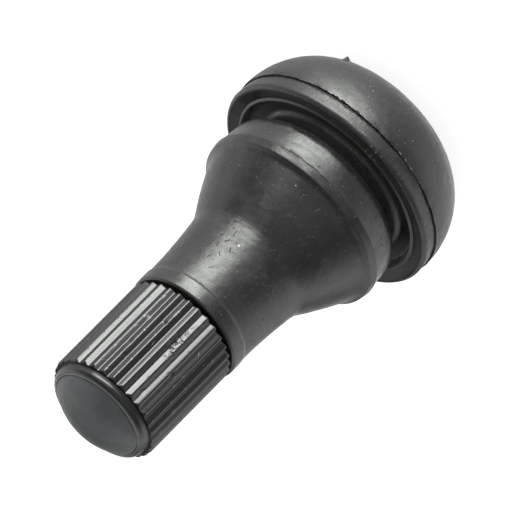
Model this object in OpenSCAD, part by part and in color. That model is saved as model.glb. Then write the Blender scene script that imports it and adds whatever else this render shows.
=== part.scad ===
// Snap-in tyre valve: a rubber body moulded on a threaded brass stem, with a valve core and a ribbed cap.
// It stands on its head: +Z runs along the stem towards the cap, and Z = 0 is the flat ring under the head.

/* [Rubber head] */
// Largest diameter of the domed head
head_d = 18.82; // [17:0.1:22]
// Height of the mould's parting line on the head
parting_z = 5.9; // [4.5:0.1:6.4]
// Diameter of the flat ring that the valve stands on
base_flat_d = 8; // [6:0.1:10]
// Diameter of the air hole through the head
air_hole_d = 3.6; // [2:0.1:4]
// How far the dome stands out past the head's side at the parting line
parting_step = 0.14; // [0.05:0.01:0.3]
// Height of the head's side above the parting line
head_side_h = 1.45; // [0.9:0.05:1.6]
// Rounding of the edge that faces the rim
head_edge_r = 0.35; // [0.2:0.05:0.6]
// Diameter of the thin sealing lip under the head
seal_lip_d = 15.92; // [15:0.1:16.6]
// How far the head's underside dips between its edge and the sealing lip
underside_dip = 0.2; // [0.1:0.02:0.3]
// Height of the sealing lip above the dip
seal_lip_h = 0.12; // [0.05:0.01:0.3]
// Depth of the hollow inside the sealing lip
seal_hollow_h = 0.65; // [0.3:0.05:0.9]

/* [Rim groove and ridge] */
// Diameter at the bottom of the rim groove
groove_d = 12.2; // [11.6:0.1:12.6]
// Rounding at the bottom of the rim groove
groove_r = 0.3; // [0.2:0.05:0.4]
// Width of the groove at its mouth, from the head's edge to the shoulder
groove_w = 0.8; // [0.6:0.05:2]
// Diameter of the shoulder beside the groove
shoulder_d = 15; // [14.6:0.1:15.4]
// Rounding of the shoulder
shoulder_r = 1; // [0.5:0.05:1.2]
// Diameter of the ridge at its parting line
ridge_d = 15.68; // [15.6:0.02:16.4]
// Length from the shoulder's lower face to the ridge's parting line
shoulder_h = 2.74; // [1.8:0.02:3.2]
// Width of the ridge above its parting line
ridge_w = 0.72; // [0.4:0.02:1]
// Taper of the ridge over that width, on the radius
ridge_taper = 0.11; // [0.02:0.01:0.15]
// Fine step left by the mould under the ridge
mould_line = 0.07; // [0.03:0.01:0.1]
// Height of the step between the ridge and the bell, on the radius
step_h = 0.34; // [0.26:0.02:0.5]
// Length of that step along the stem
step_l = 0.2; // [0.16:0.02:0.4]
// Rounding of the hollow corner between the step and the bell
step_r = 0.6; // [0.3:0.05:0.7]

/* [Bell and neck] */
// Length of the bell from the step to the knee
bell_l = 4.52; // [3:0.02:6]
// Diameter of the rubber at the knee
knee_d = 10.26; // [10:0.02:11]
// Rounding of the knee
knee_r = 2.6; // [1:0.1:4]
// Length of the neck from the knee to the lip
neck_l = 6.3; // [4:0.1:8]
// Diameter of the neck below the lip
neck_d = 9.38; // [9:0.02:9.8]
// How sharply the neck flares towards the knee
neck_flare = 1.9; // [1.2:0.1:3]
// Diameter of the lip at the rubber's end
lip_d = 9.52; // [9.4:0.02:10]
// Length of the lip
lip_l = 1.2; // [0.8:0.1:2]
// Rounding of the lip's end
lip_r = 0.22; // [0.1:0.02:0.3]

/* [Stem] */
// Outside diameter of the cap thread
thread_d = 7.7; // [7.5:0.05:7.8]
// Length of the bare thread above the rubber
thread_l = 8.05; // [7:0.05:10]
// Diameter of the shank inside the rubber
shank_d = 6.7; // [6.4:0.1:7]
// Diameter of the rings on the shank that grip the rubber
grip_ring_d = 7.5; // [7:0.1:7.8]
// Number of those rings
grip_rings = 4; // [2:1:5]
// Diameter of the flange at the stem's lower end
flange_d = 9.4; // [8.4:0.1:10.4]
// Thickness of the flange
flange_t = 0.9; // [0.6:0.1:1.4]
// Height of the flange's lower face above the base
flange_z = 3.2; // [2.4:0.1:3.6]
// Diameter of the bore around the core
stem_bore_d = 4.1; // [4:0.02:4.3]
// Diameter of the air passage below the core
passage_d = 3; // [2.4:0.1:3.4]

/* [Valve core] */
// Diameter of the core's thread
core_thread_d = 5.1; // [5:0.02:5.3]
// Depth of the plug's top below the stem's end
plug_drop = 1; // [0.6:0.1:1.4]
// Length of the threaded part of the plug
plug_thread_l = 3.2; // [2.6:0.1:4]
// Length of the key flats above that thread
plug_flats_l = 1.9; // [1.4:0.1:2.4]
// Width across the key flats
plug_flats_w = 2.3; // [1.9:0.1:2.8]
// Diameter of the barrel
barrel_d = 3.5; // [3.3:0.05:3.6]
// Length of the barrel below the plug
barrel_l = 8.7; // [8:0.1:10]
// Diameter of the spring chamber in the barrel
chamber_d = 2.6; // [2.4:0.05:2.7]
// Thickness of the barrel's lower end
barrel_end_t = 0.7; // [0.5:0.05:1]
// Length of the gasket
gasket_l = 1.2; // [0.9:0.05:1.5]
// Diameter of the pin
pin_d = 1; // [0.8:0.05:1.1]
// Depth of the pin's tip below the stem's end
pin_drop = 0.3; // [0.1:0.05:0.8]
// Travel of the pin when it is pressed
pin_travel = 1.2; // [0.8:0.1:1.4]
// Diameter of the pin's collar, which the spring pushes up
collar_d = 2.2; // [2:0.05:2.3]
// Thickness of the collar
collar_t = 0.5; // [0.4:0.05:0.8]
// Diameter of the spring's wire
wire_d = 0.34; // [0.28:0.02:0.4]
// Number of turns in the spring
spring_turns = 7; // [5:0.5:8]
// Diameter of the cup on the pin
cup_d = 3.6; // [3.4:0.05:3.7]
// Thickness of the cup's wall and floor
cup_t = 0.25; // [0.2:0.01:0.35]
// Thickness of the ring of rubber in the cup
cup_seal_t = 0.75; // [0.6:0.05:1]

/* [Cap] */
// Thickness of the cap's wall at the foot of the ribs
cap_wall = 0.47; // [0.35:0.01:0.8]
// Number of ribs, which are straight and V-shaped
rib_count = 32; // [24:1:40]
// Height of the ribs
rib_h = 0.26; // [0.15:0.01:0.35]
// Gap between the cap's mouth and the rubber lip
mouth_gap = 0.25; // [0.2:0.05:0.8]
// Thickness of the washer in the cap
cap_seal_t = 0.75; // [0.5:0.05:1]
// Diameter of the hole in that washer
cap_seal_hole_d = 2.6; // [1.5:0.1:3.5]
// Height of the ribs' ends above the cap's floor
crown_t = 0.35; // [0.3:0.05:0.8]
// Length over which the ribs' ends are rounded off
rib_end_l = 0.25; // [0.15:0.05:0.6]
// Rounding where the ribs' ends start
rib_end_r = 0.3; // [0.1:0.05:0.5]
// Width of the narrow groove between the ribs' ends and the rim
rim_groove_w = 0.14; // [0.1:0.02:0.24]
// Depth of that groove below the rim
rim_groove_depth = 0.09; // [0.05:0.01:0.15]
// How far the rim's side lies inside the foot of the ribs
rim_inset = 0.17; // [0.04:0.01:0.2]
// Height of the rim above the groove
rim_h = 0.6; // [0.5:0.02:0.8]
// Height of the rim's side
rim_side_h = 0.34; // [0.3:0.02:0.4]
// How far that side leans in
rim_lean = 0.03; // [0.02:0.01:0.15]
// Rounding between the rim's side and its top
rim_r = 0.55; // [0.2:0.05:0.6]
// Width of the rim, from its side to the crease
rim_w = 0.5; // [0.44:0.02:0.6]
// Depth of the crease between the rim and the domed end
crease_depth = 0.05; // [0.03:0.01:0.1]
// Rise of the domed end above the rim
cap_dome_h = 1.42; // [1:0.02:2.2]
// Thickness of the domed end over the hollow above the washer
cap_end_t = 1.2; // [1:0.05:1.4]
// Width of the ledge that the washer sits against
seal_ledge = 1.1; // [0.8:0.05:1.6]

/* [Fits] */
// Radial room between the cap's bore and the thread
cap_fit = 0.1; // [0.06:0.01:0.15]
// Radial room between the core's thread and the stem
core_fit = 0.05; // [0.03:0.01:0.1]
// Radial room around the pin where it slides
pin_fit = 0.12; // [0.08:0.01:0.2]
// Radial room between parts that are pressed or bonded together
bond_fit = 0.01; // [0.01:0.005:0.03]

/* [Hidden] */
$fn = 96;
eps = 0.01;

// Rubber, from the base up
head_r = head_d / 2;
underside_z = parting_z + head_side_h;
dip_z = underside_z - underside_dip;
shoulder_z = underside_z + groove_w;
ridge_z = shoulder_z + shoulder_h;
ridge_top_z = ridge_z + ridge_w;
ridge_top_r = ridge_d / 2 - ridge_taper;
bell_z = ridge_top_z + step_l;
bell_r = ridge_top_r - step_h;
knee_z = bell_z + bell_l;
lip_z = knee_z + neck_l;
rubber_top_z = lip_z + lip_l;
dome_steps = 24;
neck_steps = 12;
arc_step = 12;

// Stem
stem_top_z = rubber_top_z + thread_l;
thread_foot = 0.5;
thread_foot_z = rubber_top_z - thread_foot;
grip_ring_h = 0.7;
shank_foot_z = flange_z + flange_t;
grip_pitch = (thread_foot_z - shank_foot_z) / (grip_rings + 1);
tip_chamfer = 0.35;

// Core: the plug, the barrel that hangs in it, and the pin on the axis
plug_top_z = stem_top_z - plug_drop;
plug_thread_z = plug_top_z - plug_flats_l;
plug_z = plug_thread_z - plug_thread_l;
core_bore_r = core_thread_d / 2 + core_fit;
pin_hole_r = pin_d / 2 + pin_fit;
swivel_r = 1.25;
swivel_head_r = 1.7;
swivel_head_t = 0.6;
swivel_lip_t = 0.8;
swivel_fit = 0.08;
swivel_head_z = plug_z + swivel_lip_t;
swivel_room = 0.2;
barrel_z = plug_z - barrel_l;
chamber_z = barrel_z + barrel_end_t;
chamber_top_z = plug_z - barrel_end_t;
barrel_shoulder_t = 0.5;
gasket_top_z = plug_z - barrel_shoulder_t;
gasket_z = gasket_top_z - gasket_l;
gasket_seat_depth = 0.3;
gasket_seat_r = barrel_d / 2 - gasket_seat_depth;
cone_margin = 0.2;
cone_top_z = gasket_top_z + cone_margin;
cone_z = gasket_z - cone_margin;
cone_l = cone_top_z - cone_z;

// Pin, spring and cup
pin_tip_z = stem_top_z - pin_drop;
collar_room = 0.4;
collar_top_z = chamber_top_z - collar_room;
collar_z = collar_top_z - collar_t;
spring_l = collar_z - chamber_z;
coil_room = 0.1;
coil_r = chamber_d / 2 - coil_room - wire_d / 2;
wire_sides = 8;
coil_sides = 20;
cup_seal_z = barrel_z - cup_seal_t;
cup_z = cup_seal_z - cup_t;
cup_rim_drop = 0.12;
foot_t = 0.4;
foot_d = 1.9;
foot_room = 1.5;
passage_z = cup_z - foot_t - pin_travel - foot_room;

// Cap
cap_bore_r = thread_d / 2 + cap_fit;
valley_r = cap_bore_r + cap_wall;
rib_r = valley_r + rib_h;
rib_end_tip_r = valley_r + rib_h / 2;
rim_side_r = valley_r - rim_inset;
mouth_z = rubber_top_z + mouth_gap;
cap_floor_z = stem_top_z + cap_seal_t;
rib_top_z = cap_floor_z + crown_t;
rim_z = rib_top_z + rim_groove_w;
rim_top_z = rim_z + rim_h;
crease_r = rim_side_r - rim_w;
cap_top_z = rim_top_z + cap_dome_h;
cap_hollow_top_z = cap_top_z - cap_end_t;
cap_hollow_r = cap_bore_r - seal_ledge;
mouth_chamfer = 0.25;
cap_dome_steps = 16;
rib_phase = 1.9;

rubber = [0.13, 0.14, 0.14];
black_plastic = [0.17, 0.18, 0.18];
brass = [0.72, 0.58, 0.30];
steel = [0.66, 0.67, 0.68];
soft_seal = [0.10, 0.10, 0.11];
gasket_red = [0.55, 0.16, 0.12];

// An outline is a list of [radius, height, rounding]: each corner with a rounding becomes an arc.
function flat(p) = [p.x, p.y];
function unit(v) = v / norm(v);
function turn(a, b) = (b - a + 540) % 360 - 180;
function arc(centre, r, start, sweep) =
    let (steps = max(2, ceil(abs(sweep) / arc_step)))
    [for (i = [0 : steps]) centre + r * [cos(start + sweep * i / steps), sin(start + sweep * i / steps)]];
function corner(before, at, after) =
    let (p = flat(at),
         u = unit(flat(before) - p),
         w = unit(flat(after) - p),
         half = acos(u * w) / 2,
         centre = p + unit(u + w) * at.z / sin(half),
         from = p + u * at.z / tan(half) - centre,
         to = p + w * at.z / tan(half) - centre,
         start = atan2(from.y, from.x))
    arc(centre, at.z, start, turn(start, atan2(to.y, to.x)));
function outline(points) =
    let (n = len(points))
    [for (i = [0 : n - 1])
        each is_undef(points[i].z) || points[i].z == 0 ? [flat(points[i])]
            : corner(points[(i + n - 1) % n], points[i], points[(i + 1) % n])];

module turned(points) rotate_extrude() polygon(outline(points));

module ring(inner_r, outer_r, z, height)
    translate([0, 0, z])
        difference() {
            cylinder(r = outer_r, h = height);
            translate([0, 0, -eps]) cylinder(r = inner_r, h = height + 2 * eps);
        }

// The dome under the head: a quarter ellipse from the flat ring to the parting line
function dome_points() =
    [for (i = [0 : dome_steps])
        let (a = 90 * i / dome_steps)
        [base_flat_d / 2 + (head_r - base_flat_d / 2) * sin(a), parting_z * (1 - cos(a))]];

// The neck's flare, from the knee up to the lip
function neck_points() =
    [for (i = [1 : neck_steps])
        let (t = i / neck_steps)
        [neck_d / 2 + (knee_d - neck_d) / 2 * pow(1 - t, neck_flare), knee_z + (neck_l - lip_r) * t]];

function body_points() = concat(
    dome_points(),
    [[head_r - parting_step, parting_z],
     [head_r, underside_z, head_edge_r],
     [seal_lip_d / 2 + 2 * seal_lip_h, dip_z],
     [seal_lip_d / 2, dip_z + seal_lip_h, seal_lip_h / 2],
     [seal_lip_d / 2 - seal_hollow_h / 2, dip_z - seal_hollow_h, seal_hollow_h / 3],
     [groove_d / 2, dip_z - seal_hollow_h, 2 * groove_r],
     [groove_d / 2, shoulder_z, groove_r],
     [shoulder_d / 2, shoulder_z, shoulder_r],
     [ridge_d / 2 - mould_line, ridge_z],
     [ridge_d / 2, ridge_z + mould_line],
     [ridge_top_r, ridge_top_z, ridge_taper],
     [bell_r, bell_z, step_r],
     [knee_d / 2, knee_z, knee_r]],
    neck_points(),
    [[lip_d / 2, lip_z, lip_r / 2],
     [lip_d / 2, rubber_top_z, lip_r]]);

module rubber_body()
    color(rubber)
        difference() {
            turned(concat(body_points(), [[0, rubber_top_z], [0, 0]]));
            stem_blank(bond_fit);
            translate([0, 0, -eps]) cylinder(d = air_hole_d, h = flange_z + 2 * eps);
        }

// The stem's outside, with room added on the radius where the rubber is moulded round it
module stem_blank(room) {
    turned([[0, flange_z], [flange_d / 2 + room, flange_z], [flange_d / 2 + room, shank_foot_z],
            [shank_d / 2 + room, shank_foot_z], [shank_d / 2 + room, thread_foot_z],
            [thread_d / 2 + room, thread_foot_z], [thread_d / 2 + room, stem_top_z - tip_chamfer],
            [thread_d / 2 - tip_chamfer + room, stem_top_z], [0, stem_top_z]]);
    for (i = [1 : grip_rings])
        translate([0, 0, shank_foot_z + i * grip_pitch - grip_ring_h / 2])
            cylinder(d = grip_ring_d + 2 * room, h = grip_ring_h);
}

module stem_bore()
    turned([[0, flange_z - eps], [passage_d / 2, flange_z - eps], [passage_d / 2, passage_z],
            [stem_bore_d / 2, passage_z], [stem_bore_d / 2, cone_z], [core_bore_r, cone_top_z],
            [core_bore_r, stem_top_z - tip_chamfer], [core_bore_r + tip_chamfer, stem_top_z + eps],
            [0, stem_top_z + eps]]);

module valve_stem()
    color(brass)
        difference() {
            stem_blank(0);
            stem_bore();
        }

// The plug: a thread, a slotted neck with two key flats, and a pocket for the barrel's swivel head
module core_plug()
    color(brass)
        difference() {
            union() {
                translate([0, 0, plug_z]) cylinder(d = core_thread_d, h = plug_thread_l);
                intersection() {
                    translate([0, 0, plug_z]) cylinder(d = core_thread_d, h = plug_top_z - plug_z);
                    translate([-core_thread_d, -plug_flats_w / 2, plug_thread_z - eps])
                        cube([2 * core_thread_d, plug_flats_w, plug_flats_l + eps]);
                }
            }
            translate([0, 0, plug_z - eps]) cylinder(r = pin_hole_r, h = plug_top_z - plug_z + 2 * eps);
            translate([0, 0, plug_z - eps]) cylinder(r = swivel_r + swivel_fit, h = swivel_lip_t + 2 * eps);
            translate([0, 0, swivel_head_z])
                cylinder(r = swivel_head_r + swivel_fit, h = swivel_head_t + swivel_room);
        }

module core_barrel()
    color(brass)
        difference() {
            turned([[0, barrel_z], [barrel_d / 2, barrel_z], [barrel_d / 2, gasket_z],
                    [gasket_seat_r, gasket_z], [gasket_seat_r, gasket_top_z], [barrel_d / 2, gasket_top_z],
                    [barrel_d / 2, plug_z], [swivel_r, plug_z], [swivel_r, swivel_head_z],
                    [swivel_head_r, swivel_head_z], [swivel_head_r, swivel_head_z + swivel_head_t],
                    [0, swivel_head_z + swivel_head_t]]);
            translate([0, 0, chamber_z]) cylinder(d = chamber_d, h = chamber_top_z - chamber_z);
            translate([0, 0, barrel_z - eps]) cylinder(r = pin_hole_r, h = 2 * barrel_l);
        }

// The gasket wedges between the barrel and the stem's cone
function cone_r(z) = stem_bore_d / 2 + (core_bore_r - stem_bore_d / 2) * (z - cone_z) / cone_l;
module barrel_gasket()
    color(gasket_red)
        turned([[gasket_seat_r + bond_fit, gasket_z], [cone_r(gasket_z) - bond_fit, gasket_z],
                [cone_r(gasket_top_z) - bond_fit, gasket_top_z], [gasket_seat_r + bond_fit, gasket_top_z]]);

module core_pin()
    color(steel)
        turned([[0, cup_z - foot_t], [foot_d / 2, cup_z - foot_t], [foot_d / 2, cup_z], [pin_d / 2, cup_z],
                [pin_d / 2, collar_z], [collar_d / 2, collar_z], [collar_d / 2, collar_top_z],
                [pin_d / 2, collar_top_z], [pin_d / 2, pin_tip_z, pin_d / 5], [0, pin_tip_z]]);

// One coil of round wire with ends ground flat, as a tube swept along a helix
function helix(turns, length) =
    [for (i = [0 : turns * coil_sides])
        let (a = 360 * i / coil_sides)
        [coil_r * cos(a), coil_r * sin(a), length * i / (turns * coil_sides), a]];
function wire_ring(p) =
    [for (j = [0 : wire_sides - 1])
        let (b = 360 * (j + 0.5) / wire_sides, out = wire_d / 2 * cos(b))
        [p.x + out * cos(p[3]), p.y + out * sin(p[3]), p.z + wire_d / 2 * sin(b)]];
function tube_faces(rings) = concat(
    [[for (j = [0 : wire_sides - 1]) j]],
    [for (i = [0 : rings - 2], j = [0 : wire_sides - 1])
        let (k = (j + 1) % wire_sides)
        [i * wire_sides + j, (i + 1) * wire_sides + j, (i + 1) * wire_sides + k, i * wire_sides + k]],
    [[for (j = [wire_sides - 1 : -1 : 0]) (rings - 1) * wire_sides + j]]);

module core_spring() {
    path = helix(spring_turns, spring_l);
    color(steel)
        translate([0, 0, chamber_z])
            intersection() {
                polyhedron([for (p = path) each wire_ring(p)], tube_faces(len(path)), convexity = 8);
                cylinder(d = chamber_d, h = spring_l);
            }
}

module pin_cup()
    color(brass)
        difference() {
            translate([0, 0, cup_z]) cylinder(d = cup_d, h = cup_t + cup_seal_t - cup_rim_drop);
            translate([0, 0, cup_seal_z]) cylinder(d = cup_d - 2 * cup_t, h = cup_seal_t);
            translate([0, 0, cup_z - eps]) cylinder(r = pin_d / 2 + bond_fit, h = cup_t + 2 * eps);
        }

module cup_seal()
    color(soft_seal)
        ring(pin_d / 2 + bond_fit, cup_d / 2 - cup_t - bond_fit, cup_seal_z, cup_seal_t);

// The ribs' section: a star whose points are the ribs' crests
module rib_section()
    polygon([for (i = [0 : rib_count - 1], side = [0, 1])
        let (a = rib_phase + 360 * (i + side / 2) / rib_count)
        (side == 0 ? rib_r : valley_r) * [cos(a), sin(a)]]);

// The domed end: a cap of a ball, from the crease to the middle
function cap_dome_points() =
    let (r = (pow(crease_r, 2) + pow(cap_dome_h, 2)) / (2 * cap_dome_h),
         open = asin((crease_r - crease_depth) / r))
    [for (i = [0 : cap_dome_steps])
        let (a = open * (1 - i / cap_dome_steps))
        [r * sin(a), cap_top_z - r * (1 - cos(a))]];

module cap()
    color(black_plastic)
        difference() {
            union() {
                intersection() {
                    translate([0, 0, mouth_z]) linear_extrude(rib_top_z - mouth_z) rib_section();
                    turned([[0, mouth_z - eps], [rib_r + eps, mouth_z - eps],
                            [rib_r + eps, rib_top_z - rib_end_l, rib_end_r], [rib_end_tip_r, rib_top_z + eps],
                            [0, rib_top_z + eps]]);
                }
                turned(concat(
                    [[0, cap_floor_z], [rim_side_r - rim_groove_depth, cap_floor_z],
                     [rim_side_r - rim_groove_depth, rim_z], [rim_side_r, rim_z],
                     [rim_side_r - rim_lean, rim_z + rim_side_h, rim_r],
                     [crease_r + crease_depth, rim_top_z], [crease_r, rim_top_z - crease_depth]],
                    cap_dome_points()));
            }
            translate([0, 0, mouth_z - eps]) cylinder(r = cap_bore_r, h = cap_floor_z - mouth_z + eps);
            translate([0, 0, mouth_z - eps])
                cylinder(r1 = cap_bore_r + mouth_chamfer, r2 = cap_bore_r, h = mouth_chamfer);
            turned([[0, cap_floor_z - eps], [cap_hollow_r, cap_floor_z - eps],
                    [cap_hollow_r, cap_hollow_top_z, cap_hollow_top_z - cap_floor_z], [0, cap_hollow_top_z]]);
        }

module cap_seal()
    color(soft_seal)
        ring(cap_seal_hole_d / 2, cap_bore_r - bond_fit, stem_top_z, cap_seal_t);

rubber_body();
valve_stem();
core_plug();
core_barrel();
barrel_gasket();
core_pin();
core_spring();
pin_cup();
cup_seal();
cap();
cap_seal();
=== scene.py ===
import math

import bmesh
import bpy
import numpy as np
from mathutils import Matrix, Vector


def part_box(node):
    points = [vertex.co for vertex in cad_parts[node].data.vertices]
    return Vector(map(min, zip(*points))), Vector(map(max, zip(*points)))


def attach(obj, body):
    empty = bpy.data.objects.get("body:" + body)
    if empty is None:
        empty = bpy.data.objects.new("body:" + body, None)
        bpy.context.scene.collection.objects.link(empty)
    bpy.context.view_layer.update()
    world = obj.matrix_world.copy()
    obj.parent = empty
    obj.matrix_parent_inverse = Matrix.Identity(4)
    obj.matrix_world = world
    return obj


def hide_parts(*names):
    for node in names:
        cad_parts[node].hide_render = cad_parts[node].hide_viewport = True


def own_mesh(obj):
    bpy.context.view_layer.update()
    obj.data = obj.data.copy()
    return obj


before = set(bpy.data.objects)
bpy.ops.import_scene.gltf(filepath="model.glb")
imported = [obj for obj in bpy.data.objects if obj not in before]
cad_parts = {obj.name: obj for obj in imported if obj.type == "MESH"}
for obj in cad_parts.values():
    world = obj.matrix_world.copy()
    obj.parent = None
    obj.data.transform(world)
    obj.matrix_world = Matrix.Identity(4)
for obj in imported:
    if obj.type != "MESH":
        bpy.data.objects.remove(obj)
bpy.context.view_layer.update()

# Lengths below are in mm, heights are above the floor, and angles round the axis are from +X
MM = 0.001
TURN = 2 * math.pi
# Points nearer than this become one
WELD = 0.0001

# Camera of the photo: it looks along +Y and down, and its image is rolled. The aim point is seen that far to
# the right of the image's middle and below it.
VIEW_TILT = math.radians(27.36)
VIEW_ROLL = math.radians(-135.23)
VIEW_DISTANCE = 700
PIXELS_PER_MM = 13.83
IMAGE_SIZE = 510
AIM_POINT = Vector((0, 0, 33))
AIM_RIGHT = -10.99
AIM_DOWN = 11.14
SENSOR = 36

# Studio: its light, and its darker parts as direction, where the shade starts and ends, and what it takes.
# A part that takes less than nothing is a glow.
WORLD_LEVEL = 1.25
WORLD_SHADES = [((0, -0.888, 0.46), -0.25, 0.45, 1.0), ((0, -0.93, 0.35), 0.60, 0.95, -0.18),
                ((0.6, -0.75, 0.22), 0.95, 0.998, -1.2), ((0.15, -0.87, -0.45), 0.93, 0.995, -0.9),
                ((-0.12, 0, -1), 0.80, 0.97, 0.6), ((0.94, 0.25, 0.05), 0.85, 1.0, 0.3),
                ((0.6, 0.65, -0.5), 0.70, 0.95, 0.5), ((-0.7, 0.6, -0.35), 0.86, 0.99, 0.3),
                ((-0.42, 0.9, 0.0), 0.80, 0.97, 0.7), ((0, 0.888, 0.46), 0.90, 0.97, 1.0),
                ((0.83, -0.55, 0.05), 0.95, 0.995, -0.7)]
LIGHT_TINT = (0.975, 1.0, 0.97)

# Lamps: the direction that they shine from, the height that they shine at, and each one's distance, width,
# height and radiance. They are below the floor's level, so the floor lets their light through.
KEY_DIRECTION = (0.584, -0.662, -0.453)
LAMP_AIM_Z = 17
LAMPS = {"key": (400, 220, 180, 5.5), "key_edge": (410, 350, 300, 5.0)}

# Floor: half of its side, its grey and finish, and how much it glows where it is seen
FLOOR_HALF = 3000
FLOOR_GREY = 0.82
FLOOR_ROUGH = 0.9
FLOOR_GLOSS = 0.1
FLOOR_GLOW = 0.80

# Threads: pitches, radii and heights. The flank is how steep the wave is, a flat is what the wave loses in
# its roots, the fade is the length over which a thread runs out, and a point within the reach belongs to the
# bore.
CAP_PITCH = 25.4 / 32
CORE_PITCH = 25.4 / 36
THREAD_FLANK = 1.3
THREAD_FADE = 0.5
STEM_CREST = 3.85
STEM_ROOT = 3.40
STEM_FLAT = 0.12
STEM_THREAD_LOW = 23.9
STEM_THREAD_TOP = 31.86
CORE_BORE = 2.6
CORE_DEPTH = 0.25
CORE_FLAT = 0.15
CORE_THREAD_LOW = 26.2
BORE_REACH = 0.3
CAP_ROOT = 3.95
CAP_CREST = 3.56
CAP_FLAT = 0.30

# Stem: its grime and painted shade below the cap's edge, its segments, and the longest edges on its threads
# and elsewhere
GRIME_AND_SHADE_Z = 24.5
GRIME_AND_SHADE_FADE = 0.3
GRIME_AND_SHADE_COLOUR = (0.02, 0.016, 0.012, 1)
STEM_SEGMENTS = 144
THREAD_EDGE = 0.06
STEM_EDGE = 0.6

# Core: its spring, how far the pin goes in, and the wire's mesh round one turn and round itself
SPRING_TURNS = 7
COIL_R = 1.03
WIRE_R = 0.17
WIRE_STEPS = 48
WIRE_SIDES = 16

# Bevels of the pieces that keep their CAD shape
BEVEL_STEPS = 2
BEVEL_ANGLE = math.radians(50)

# Cap
RIBS = 32
RIB_PHASE = math.radians(1.9)
VALLEY_R = 4.42
RIB_H = 0.26
CREST_ROUND = 0.20
TROUGH_ROUND = 0.16
MOUTH_Z = 24.08
MOUTH_CHAMFER = 0.25
MOUTH_EDGE = 0.07
MOUTH_BEND = 0.3 * MOUTH_EDGE
RIB_TOP_Z = 32.98
RIB_END_L = 0.25
RIB_END_DROP = 0.5
RIB_END_CURVE = 1.6
GROOVE_R = 4.27
COVE_CURVE = 0.6
RIM_Z = 33.04
RIM_R = 4.22
RIM_SIDE_Z = 33.26
RIM_CORNER_Z = 33.56
RIM_ROUND = 0.40
RIM_TOP_Z = 33.72
CREASE_R = 3.75
CREASE_DEPTH = 0.05
DOME_H = 1.42
CAP_FLOOR_Z = 32.63
HOLLOW_R = 2.85
HOLLOW_TOP_Z = 33.94
# Heights where the cap's thread starts and where it is complete, from the mouth and from the cap's floor, and
# the plain wall next to that floor
CAP_THREAD_LOW = (MOUTH_Z + 0.5, MOUTH_Z + 1.0)
CAP_THREAD_TOP = (CAP_FLOOR_Z - 0.9, CAP_FLOOR_Z - 1.3)
PLAIN_WALL = 0.1
# Rows of the cap's mesh: their gaps on the ribs, on scuffed ribs and at least, and how many steps elsewhere
ROW_GAP = 0.2
SCUFF_ROW_GAP = 0.07
LEAST_ROW_GAP = 0.1
HOLLOW_STEPS = 8
THREAD_STEPS = 80
RIB_END_STEPS = 6
COVE_STEPS = 6
RIM_STEPS = 10
DOME_STEPS = 24
# Segments on half a rib, from 0 on its crest to 1 in the trough
RIB_STEPS = [0.10, 0.20, 0.42, 0.64, 0.84, 0.92]

# Scuffed ribs: the height of their middle, the reach of the close rows, and for each scuff its angle in
# degrees, its width in radians, its length and how strong it is
SCUFF_Z = 27.3
SCUFF_REACH = 0.9
SCUFFS = [(-96.2, 0.055, 1.9, 1.0), (-90.6, 0.03, 0.8, 0.8)]
# Nicks in the ribs: angle in degrees, height and depth, and then the width, length and lowest radius of all
NICKS = [(-74.5, 26.72, 0.12), (-63.0, 29.56, 0.12), (-69.4, 30.6, 0.10), (-103.2, 31.9, 0.12),
         (-94.4, 27.25, 0.10), (-97.2, 26.95, 0.08), (-92.6, 27.55, 0.09), (-95.6, 27.85, 0.10),
         (-93.2, 26.80, 0.08), (-98.0, 28.20, 0.07), (-114.4, 29.0, 0.10), (20.0, 28.0, 0.12),
         (100.0, 30.4, 0.12)]
NICK_W = 0.16
NICK_L = 0.10
NICK_FLOOR_R = VALLEY_R - 0.08
# Marks on the cap: the widths of the worn crests and of the painted highlight on the crease, the fade of the
# satin end, and how far beyond a limit a point still counts
CREST_MARK_W = 0.05
CREASE_HIGHLIGHT_W = 0.02
SATIN_FADE = 0.06
MARK_REACH = 0.1

# Rubber
PARTING_Z = 5.9
HEAD_R = 9.41
RIDGE_Z = 10.89
BELL_Z = 11.95
KNEE_Z = 16.3
BELL_SWELL = 0.09
NECK_R = 4.9
# Where the rubber is bonded to the stem and its foot, and where its skin starts
BOND_R = 3.9
FOOT_R = 4.75
FOOT_Z = 4.25
SKIN_R = 4.2
SKIN_Z = 0.02
# Arcs of the head's seam, in degrees round the axis: where it is faint and where it is heavy
SEAM_FAINT = (-126, -101)
SEAM_HEAVY = (-82, -52)
# Dark lines of dirt and painted crevice shade in the seam and along the ridge
SEAM_LINE_Z = PARTING_Z + 0.07
RIDGE_LINE_Z = RIDGE_Z + 0.02
LINE_W = 0.055
# The seam's reach along the head, into it and at its lip, and how much of its raggedness goes along the head
SEAM_L = 0.10
SEAM_DEPTH = 0.25
SEAM_LIP = 0.11
SEAM_SWAY = 0.7
# Where the seam is faint, it is filled: how far along, how near to the head's radius, and how much of that
FILL_L = 0.3
FILL_GAP = 0.03
FILL_SHARE = 0.7
# Unevenness as depth, random seed, fewest and most waves round the axis, and for the skin also its twist in
# radians a mm
SEAM_WAVES = [(0.05, 11, 9, 40), (0.03, 12, 60, 140)]
SKIN_WAVES = [(0.010, 13, 3, 12, 0.3), (0.006, 14, 8, 25, -0.5)]
# Dust and painted fill light in the rim groove: the arc with the most of it, how far from the head's edge it
# starts, and its heights
GROOVE_DUST_AND_LIGHT = (-150, -20)
DUST_AND_LIGHT_IN = 0.30
DUST_AND_LIGHT_FADE = 0.25
DUST_AND_LIGHT_LOW = (6.2, 6.4)
DUST_AND_LIGHT_TOP = (8.75, 8.3)
# Heights where a finish starts and where it is complete: the head's sanded band from below and from above,
# its dome, and the neck from below and from above
BAND_FADES = ((5.95, 6.10), (7.35, 7.20))
DOME_FADE = (5.9, 5.7)
NECK_FADES = ((17.0, 18.0), (22.9, 22.4))
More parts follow.
